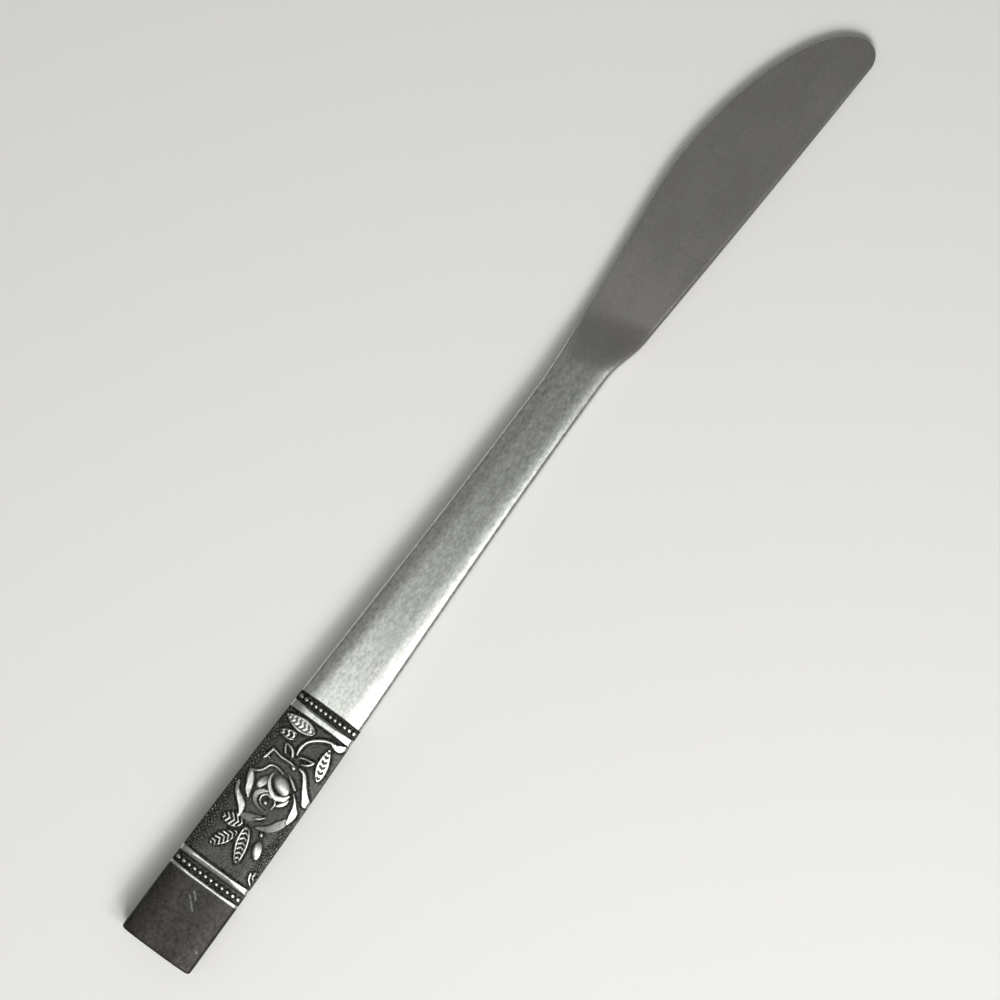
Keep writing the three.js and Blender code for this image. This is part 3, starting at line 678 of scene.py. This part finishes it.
# Half the blade's thickness: a wedge that thins to the edge and the tip, a bevel at the edge
def blade_half_thickness(x, y, from_spine, from_edge):
    along = (x - HANDLE_LENGTH) / (OVERALL_LENGTH - HANDLE_LENGTH)
    thick = mix(SPINE_THICKNESS, SPINE_THICKNESS_AT_TIP, along) / 2
    thin = mix(GRIND_THICKNESS, GRIND_THICKNESS_AT_TIP, along) / 2
    depth = y - edge_height(x, rounded=False)
    wedge = mix(thin, thick, depth / BLADE_DEPTH)
    bevelled = mix(EDGE_THICKNESS / 2, wedge, np.minimum(from_edge / EDGE_BEVEL, 1))
    return np.minimum(bevelled, wedge - SPINE_ROUND + SPINE_ROUND * quarter_round(from_spine, SPINE_ROUND))


blade_stations = np.concatenate([
    np.linspace(HANDLE_LENGTH, RAMP_POINTS_END, RAMP_POINTS)[:-1],
    np.linspace(RAMP_POINTS_END, SPINE_PEAK, RISE_POINTS)[:-1],
    mix(SPINE_PEAK, OVERALL_LENGTH, np.sin(np.linspace(0, math.pi / 2, TIP_POINTS))),
])


# Rows close together at the edge and the spine, squeezed where the blade is narrow
def blade_place(column, row):
    x = blade_stations[column]
    spine, edge = spine_height(x), edge_height(x)
    width = spine - edge
    count = len(CLOSE_ROWS) - 1
    reach = np.minimum(1, CLOSE_SHARE * width / CLOSE_ROWS[-1])
    from_side = np.minimum(row, BLADE_ROWS - row)
    share = (row - count) / (BLADE_ROWS - 2 * count)
    even = mix(CLOSE_ROWS[-1] * reach, width - CLOSE_ROWS[-1] * reach, share)
    close = CLOSE_ROWS[np.minimum(from_side, count)] * reach
    from_edge = np.where(from_side <= count, np.where(row < BLADE_ROWS / 2, close, width - close), even)
    from_spine = width - from_edge
    bolster = crown_height(np.minimum(from_edge, from_spine), half_thickness(x), SHOULDER_AT_NECK)
    blade = blade_half_thickness(x, edge + from_edge, from_spine, from_edge)
    start = HANDLE_LENGTH + RAMP_START + RAMP_SKEW * (from_spine / width)
    thinned = mix(bolster, blade, ease(x, start, start + RAMP_LENGTH))
    return np.column_stack([x, edge + from_edge, thinned])


# Blade and bolster: one face is shaped and mirrored, and a plug and a tang go into the handle
blade = shaped_grid("forged_blade", len(blade_stations) - 1, BLADE_ROWS, blade_place)
wall_down(0, fill=False)
apply_modifier(blade, "MIRROR", use_axis=(False, False, True), merge_threshold=MIRROR_MERGE_DISTANCE * MM)


def tang_half_width(x):
    return 0.5 * mix(TANG_ROOT_WIDTH, TANG_END_WIDTH, (HANDLE_LENGTH - x) / TANG_LENGTH)


# Places along the tang and how deep a notch bites into each side there
def tang_stations():
    made = [(HANDLE_LENGTH + OVERLAP, 0.0)]
    for i in range(1, NOTCH_COUNT + 1):
        at = HANDLE_LENGTH - i * NOTCH_SPACING
        for turn in np.linspace(0, math.pi, NOTCH_POINTS):
            made.append((at + NOTCH_RADIUS * math.cos(turn), NOTCH_RADIUS * math.sin(turn)))
    made.append((HANDLE_LENGTH - TANG_LENGTH, 0.0))
    return made


# A block grown from its first end face; a section is its x, half width and half thickness
def drawn_block(name, sections):
    deselect()
    first = sections[0]
    bpy.ops.mesh.primitive_plane_add(
        size=1, location=(first[0] * MM, 0, 0), rotation=(0, -math.pi / 2, 0)
    )
    block = bpy.context.object
    block.name = block.data.name = name
    bpy.ops.object.transform_apply(location=False, rotation=True, scale=False)
    block.scale = (1, 2 * first[1] * MM, 2 * first[2] * MM)
    bpy.ops.object.transform_apply(location=True, rotation=False, scale=True)
    bpy.ops.object.mode_set(mode="EDIT")
    bpy.ops.mesh.select_all(action="SELECT")
    for before, section in zip(sections[:-1], sections[1:]):
        step = (section[0] - before[0]) * MM
        bpy.ops.mesh.extrude_region_move(TRANSFORM_OT_translate={"value": (step, 0, 0)})
        bpy.ops.transform.resize(
            value=(1, section[1] / before[1], section[2] / before[2]),
            center_override=(section[0] * MM, 0, 0),
        )
    bpy.ops.object.mode_set(mode="OBJECT")
    return block


tang = drawn_block("tang", [
    (x, tang_half_width(x) - bite, TANG_THICKNESS / 2) for x, bite in tang_stations()
])
plug_from = HANDLE_LENGTH - PLUG_LENGTH
plug_stations = [(HANDLE_LENGTH + OVERLAP, 0.0), (plug_from + PLUG_CHAMFER, 0.0), (plug_from, PLUG_CHAMFER)]
plug_inset = WALL + FILL_GAP
plug = drawn_block("plug", [
    (
        x,
        float(half_width(np.array(x))) - plug_inset - chamfer,
        float(half_thickness(np.array(x))) - plug_inset - chamfer,
    )
    for x, chamfer in plug_stations
])
deselect()
for part in (plug, tang, blade):
    part.select_set(True)
bpy.context.view_layer.objects.active = blade
bpy.ops.object.join()
tidy_mesh(blade, BLADE_SMOOTHING)
keep_on_points(blade, "brushed", 1 - ease(point_places(blade)[:, 0] / MM, HANDLE_LENGTH, BRUSHED_END))

for piece in (blade, front_shell, rear_shell):
    piece.data.transform(KNIFE)
    piece.data.update()
    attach(piece, "root")
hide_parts("blade")
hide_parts("front_handle_shell")
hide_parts("rear_handle_shell")


# An sRGB hex colour as linear light
def linear(hex_colour):
    parts = [int(hex_colour[i:i + 2], 16) / 255 for i in (1, 3, 5)]
    return (*[c / 12.92 if c <= 0.04045 else ((c + 0.055) / 1.055) ** 2.4 for c in parts], 1.0)


# Sockets of a Mix node, which repeat their names: for numbers and for colours
FACTOR, NUMBER_A, NUMBER_B, COLOUR_A, COLOUR_B = 0, 2, 3, 6, 7
NUMBER_OUT, COLOUR_OUT = 0, 2


# Adds a node with its settings; an input is given a value or the output that it is linked to
def add(tree, kind, inputs=None, **settings):
    made = tree.nodes.new(kind)
    for name, value in settings.items():
        setattr(made, name, value)
    for socket, value in (inputs or {}).items():
        if isinstance(value, bpy.types.NodeSocket):
            tree.links.new(value, made.inputs[socket])
        else:
            made.inputs[socket].default_value = value
    return made


def new_material(name):
    material = bpy.data.materials.new(name)
    material.use_nodes = True
    material.node_tree.nodes.clear()
    return material, material.node_tree


def finish_material(tree, inputs):
    shader = add(tree, "ShaderNodeBsdfPrincipled", inputs)
    add(tree, "ShaderNodeOutputMaterial", {"Surface": shader.outputs["BSDF"]})


# Noise whose grains have a real size in mm along each axis
def grain(tree, size, detail=2.0, roughness=0.5):
    place = add(tree, "ShaderNodeTexCoord").outputs["Object"]
    sized = add(tree, "ShaderNodeMapping", {"Vector": place, "Scale": [1 / (s * MM) for s in size]})
    noise = add(tree, "ShaderNodeTexNoise", {
        "Vector": sized.outputs["Vector"], "Scale": 1.0, "Detail": detail, "Roughness": roughness,
    })
    return noise.outputs["Fac"]


# A surface mottled between two colours, each clean where the pattern is past its low or high value
def two_tone(tree, pattern, dark, pale, low=0.3, high=0.7):
    share = add(tree, "ShaderNodeMapRange", {"Value": pattern, "From Min": low, "From Max": high})
    return add(tree, "ShaderNodeMix", {
        COLOUR_A: linear(dark), COLOUR_B: linear(pale), FACTOR: share.outputs["Result"],
    }, data_type="RGBA").outputs[COLOUR_OUT]


# Brushed steel's grain: short strokes along the knife, coarsened from about 0.05 mm to show in the picture
def brushed_grain(tree):
    strokes = grain(tree, (1.1, 0.7, 0.7), 4, 0.8)
    rough = add(tree, "ShaderNodeMapRange", {
        "Value": strokes, "From Min": 0.3, "From Max": 0.7, "To Min": 0.275, "To Max": 0.295,
    })
    return strokes, two_tone(tree, strokes, "#9a9d97", "#d7dad4"), rough.outputs["Result"]


# Stainless steel, ground flat and satin polished: an even grey sheen, brushed only on the bolster
satin_steel, tree = new_material("satin_polished_stainless_steel")
strokes, brushed_tone, brushed_rough = brushed_grain(tree)
polish = grain(tree, (0.6, 0.4, 0.4), 2)
clouds = grain(tree, (14, 8, 8), 2)
brushed = add(tree, "ShaderNodeAttribute", attribute_name="brushed").outputs["Fac"]
polished_tone = two_tone(tree, polish, "#adaba6", "#bab8b3")
polished_rough = add(tree, "ShaderNodeMapRange", {
    "Value": clouds, "From Min": 0.35, "From Max": 0.65, "To Min": 0.26, "To Max": 0.3,
})
tone = add(tree, "ShaderNodeMix", {
    COLOUR_A: polished_tone, COLOUR_B: brushed_tone, FACTOR: brushed,
}, data_type="RGBA")
rough = add(tree, "ShaderNodeMix", {
    NUMBER_A: polished_rough.outputs["Result"], NUMBER_B: brushed_rough, FACTOR: brushed,
})
surface = add(tree, "ShaderNodeMix", {NUMBER_A: polish, NUMBER_B: strokes, FACTOR: brushed})
bump = add(tree, "ShaderNodeBump", {
    "Height": surface.outputs[NUMBER_OUT], "Strength": 0.04, "Distance": 0.02 * MM,
})
finish_material(tree, {
    "Base Color": tone.outputs[COLOUR_OUT],
    "Metallic": 1.0,
    "Roughness": rough.outputs[NUMBER_OUT],
    "Normal": bump.outputs["Normal"],
})

# Stainless steel brushed along the handle, black oxide left in the struck hollows with painted shade
# deepening it in the corners beside the relief, a dulled butt plate
brushed_steel, tree = new_material("brushed_stainless_steel_with_black_oxide_and_painted_shade")
strokes, brushed_tone, brushed_rough = brushed_grain(tree)
mottle = grain(tree, (0.9, 0.7, 0.7), 4, 0.65)
specks = grain(tree, (0.45, 0.45, 0.45), 2)
# The black mask is real oxide in the hollows plus painted shade in the corners beside the relief
black = add(tree, "ShaderNodeAttribute", attribute_name="oxide_and_painted_shade").outputs["Fac"]
dull = add(tree, "ShaderNodeAttribute", attribute_name="dulled").outputs["Fac"]
dull_tone = two_tone(tree, mottle, "#343230", "#504e4b")
black_tone = two_tone(tree, specks, "#111210", "#3c3d3a", 0.36, 0.64)
steel_tone = add(tree, "ShaderNodeMix", {
    COLOUR_A: brushed_tone, COLOUR_B: dull_tone, FACTOR: dull,
}, data_type="RGBA")
tone = add(tree, "ShaderNodeMix", {
    COLOUR_A: steel_tone.outputs[COLOUR_OUT], COLOUR_B: black_tone, FACTOR: black,
}, data_type="RGBA")
steel_rough = add(tree, "ShaderNodeMix", {NUMBER_A: brushed_rough, NUMBER_B: 0.55, FACTOR: dull})
rough = add(tree, "ShaderNodeMix", {
    NUMBER_A: steel_rough.outputs[NUMBER_OUT], NUMBER_B: 0.5, FACTOR: black,
})
bump = add(tree, "ShaderNodeBump", {"Height": strokes, "Strength": 0.04, "Distance": 0.02 * MM})
finish_material(tree, {
    "Base Color": tone.outputs[COLOUR_OUT],
    "Metallic": 1.0,
    "Roughness": rough.outputs[NUMBER_OUT],
    "Normal": bump.outputs["Normal"],
})

# Silver brazing alloy, filed flush: a pale warm hairline with file marks across it
braze, tree = new_material("filed_silver_brazing_alloy")
marks = grain(tree, (0.5, 4, 4), 3)
rough = add(tree, "ShaderNodeMapRange", {
    "Value": marks, "From Min": 0.3, "From Max": 0.7, "To Min": 0.35, "To Max": 0.5,
})
finish_material(tree, {
    "Base Color": two_tone(tree, marks, "#a79a76", "#c9bf9f"),
    "Metallic": 1.0,
    "Roughness": rough.outputs["Result"],
})

# Handle cement, poured and set: matt grey-brown with grains of sand
cement, tree = new_material("poured_handle_cement")
sand = grain(tree, (0.6, 0.6, 0.6), 4)
bump = add(tree, "ShaderNodeBump", {"Height": sand, "Strength": 0.6, "Distance": 0.1 * MM})
finish_material(tree, {
    "Base Color": two_tone(tree, sand, "#7d766b", "#a59d90", 0.35, 0.65),
    "Roughness": 0.9,
    "Normal": bump.outputs["Normal"],
})


def dress(piece, material):
    piece.data.materials.clear()
    piece.data.materials.append(material)


dress(blade, satin_steel)
dress(front_shell, brushed_steel)
dress(rear_shell, brushed_steel)
for node, material in (("seam_braze", braze), ("handle_cement", cement)):
    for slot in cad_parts[node].material_slots:
        slot.material = material

# Pale studio floor that sweeps up into a wall all round, in metres
FLOOR_RADIUS = 1.6
SWEEP_RADIUS = 0.5
SWEEP_TURNS = np.radians(np.arange(10, 91, 10))
WALL_RISE = 0.6
deselect()
bpy.ops.mesh.primitive_circle_add(vertices=FLOOR_SIDES, radius=FLOOR_RADIUS, fill_type="NGON")
floor = bpy.context.object
floor.name = floor.data.name = "studio_floor"
bpy.ops.object.mode_set(mode="EDIT")
bpy.ops.mesh.select_mode(type="EDGE")
bpy.ops.mesh.select_all(action="SELECT")
bpy.ops.mesh.region_to_loop()
reach, rise = FLOOR_RADIUS, 0.0
for turn in SWEEP_TURNS:
    new_reach = FLOOR_RADIUS + SWEEP_RADIUS * math.sin(turn)
    new_rise = SWEEP_RADIUS * (1 - math.cos(turn))
    bpy.ops.mesh.extrude_edges_move(TRANSFORM_OT_translate={"value": (0, 0, new_rise - rise)})
    grow = new_reach / reach
    bpy.ops.transform.resize(value=(grow, grow, 1), center_override=(0, 0, 0))
    reach, rise = new_reach, new_rise
bpy.ops.mesh.extrude_edges_move(TRANSFORM_OT_translate={"value": (0, 0, WALL_RISE)})
bpy.ops.object.mode_set(mode="OBJECT")
bpy.ops.object.shade_smooth_by_angle(angle=FLOOR_SMOOTHING)
paper, tree = new_material("pale_paper_backdrop")
finish_material(tree, {"Base Color": linear("#efeeeb"), "Roughness": 0.9})
dress(floor, paper)

# Camera straight above, turned as the knife lies in the picture; the aim is the place at the middle, in mm
AIM = (105.8, -2.1, 2.4)
PIXELS_PER_MM = 5.36
IMAGE_SIZE = 1000
KNIFE_TURN = math.radians(53.71)
CAMERA_DISTANCE = 0.7
aim = KNIFE @ Vector([distance * MM for distance in AIM])
right = Vector((math.cos(KNIFE_TURN), -math.sin(KNIFE_TURN), 0))
up = Vector((math.sin(KNIFE_TURN), math.cos(KNIFE_TURN), 0))
camera_data = bpy.data.cameras.new("camera")
camera_data.lens = camera_data.sensor_width * CAMERA_DISTANCE / (IMAGE_SIZE / PIXELS_PER_MM * MM)
camera = bpy.data.objects.new("camera", camera_data)
bpy.context.collection.objects.link(camera)
turned = Matrix((right, up, Vector((0, 0, 1)))).transposed().to_4x4()
camera.matrix_world = Matrix.Translation(aim + Vector((0, 0, CAMERA_DISTANCE))) @ turned
bpy.context.scene.camera = camera


def lamp(name, place, target, size_x, size_y, power):
    data = bpy.data.lights.new(name, "AREA")
    data.shape = "RECTANGLE"
    data.size = size_x
    data.size_y = size_y
    data.energy = power
    made = bpy.data.objects.new(name, data)
    bpy.context.collection.objects.link(made)
    made.visible_camera = False
    made.location = place
    made.rotation_euler = (Vector(target) - Vector(place)).to_track_quat("-Z", "Y").to_euler()


# Places, aims and sizes in metres, power in watts
lamp("key_softbox", (-0.104, -0.2325, 0.38), (-0.104, -0.2325, 0), 0.064, 0.375, 0.55)
lamp("key_border", (-0.109, 0.03, 0.38), (-0.109, 0.03, 0), 0.054, 0.15, 0.118)
lamp("side_strip", (-0.0375, -0.33, 0.5), (-0.0375, 0, 0), 0.145, 0.07, 0.21)
lamp("fill_softbox", (-0.02, 0.34, 0.5), (-0.02, 0, 0), 0.5, 0.25, 0.045)
lamp("corner_softbox", (-0.7, -0.7, 1.0), (0, 0, 0), 0.7, 0.7, 10.0)

ROOM_LIGHT = 0.22
world = bpy.data.worlds.new("studio")
world.use_nodes = True
background = world.node_tree.nodes["Background"]
background.inputs["Color"].default_value = (1, 1, 1, 1)
background.inputs["Strength"].default_value = ROOM_LIGHT
bpy.context.scene.world = world
bpy.context.scene.view_settings.view_transform = "Standard"
